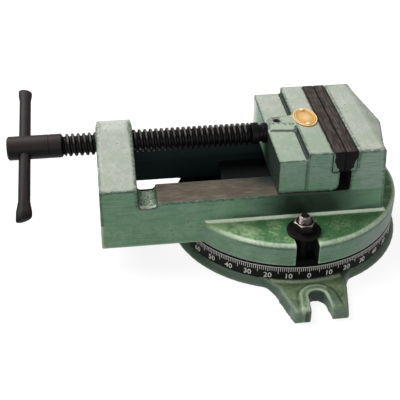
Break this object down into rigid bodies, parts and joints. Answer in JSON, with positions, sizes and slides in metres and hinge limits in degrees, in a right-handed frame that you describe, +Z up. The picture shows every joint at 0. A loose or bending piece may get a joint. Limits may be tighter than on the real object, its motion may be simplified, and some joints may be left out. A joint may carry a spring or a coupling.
{
  "type": "swivel drill press vise",
  "caption": "Swivel drill press vise: slotted round base with a degree band, cast body with rails, and a screw-driven sliding jaw with steel jaw plates, an oval badge and a loose cross bar.",
  "frame": {"origin": "on the swivel axis, at the underside of the base", "axes": "+X along the screw from the handle to the fixed jaw, +Y to the rear, +Z up along the swivel axis"},
  "size_m": [0.2914, 0.242, 0.0994],
  "materials": {
    "green_paint": "satin hammered green paint on cast iron",
    "black_steel": "black oxide",
    "jaw_plate_steel": "dark hardened steel",
    "band_black": "black band with pale degree marks",
    "brass": "satin"
  },
  "bodies": {
    "swivel_base": {"swivel_base": "green_paint", "degree_band": "band_black", "pivot_pin": "black_steel"},
    "vise_body": {"vise_body": "green_paint", "fixed_jaw_plate": "jaw_plate_steel", "fixed_plate_screw_front": "black_steel", "fixed_plate_screw_rear": "black_steel", "front_clamp_bolt": "black_steel", "rear_clamp_bolt": "black_steel"},
    "movable_jaw": {"movable_jaw": "green_paint", "movable_jaw_plate": "jaw_plate_steel", "movable_plate_screw_front": "black_steel", "movable_plate_screw_rear": "black_steel", "jaw_keeper_plate": "black_steel", "keeper_screw_front": "black_steel", "keeper_screw_rear": "black_steel", "screw_retainer": "black_steel", "oval_badge": "brass", "badge_rivet_front": "brass", "badge_rivet_rear": "brass"},
    "lead_screw": {"lead_screw": "black_steel"},
    "tommy_bar": {"tommy_bar": "black_steel"},
    "front_washer": {"front_clamp_washer": "black_steel"},
    "rear_washer": {"rear_clamp_washer": "black_steel"},
    "front_nut": {"front_clamp_nut": "black_steel"},
    "rear_nut": {"rear_clamp_nut": "black_steel"}
  },
  "joints": [
    {"name": "swivel", "type": "hinge", "parent": "swivel_base", "child": "vise_body", "pos_m": [0, 0, 0], "axis": [0, 0, 1], "continuous": true},
    {"name": "jaw_slide", "type": "slide", "parent": "vise_body", "child": "movable_jaw", "axis": [-1, 0, 0], "range_m": [0, 0.088]},
    {"name": "screw_turn", "type": "hinge", "parent": "movable_jaw", "child": "lead_screw", "pos_m": [-0.1, 0, 0.078], "axis": [1, 0, 0], "range_deg": [-7921, 0]},
    {"name": "bar_slide", "type": "slide", "parent": "lead_screw", "child": "tommy_bar", "axis": [0, 0.9397, 0.342], "range_m": [-0.035, 0.0385]},
    {"name": "front_clamp_lift", "type": "slide", "parent": "vise_body", "child": "front_washer", "axis": [0, 0, 1], "range_m": [0, 0.00125]},
    {"name": "front_nut_turn", "type": "hinge", "parent": "front_washer", "child": "front_nut", "pos_m": [0, -0.0688, 0.0398], "axis": [0, 0, 1], "range_deg": [0, 361]},
    {"name": "rear_clamp_lift", "type": "slide", "parent": "vise_body", "child": "rear_washer", "axis": [0, 0, 1], "range_m": [0, 0.00125]},
    {"name": "rear_nut_turn", "type": "hinge", "parent": "rear_washer", "child": "rear_nut", "pos_m": [0, 0.0688, 0.0398], "axis": [0, 0, 1], "range_deg": [0, 361]}
  ],
  "couplings": [
    {"joint": "screw_turn", "follows": "jaw_slide", "rad_per_m": -1570.8},
    {"joint": "front_nut_turn", "follows": "front_clamp_lift", "rad_per_m": 5026.5},
    {"joint": "rear_nut_turn", "follows": "rear_clamp_lift", "rad_per_m": 5026.5}
  ]
}
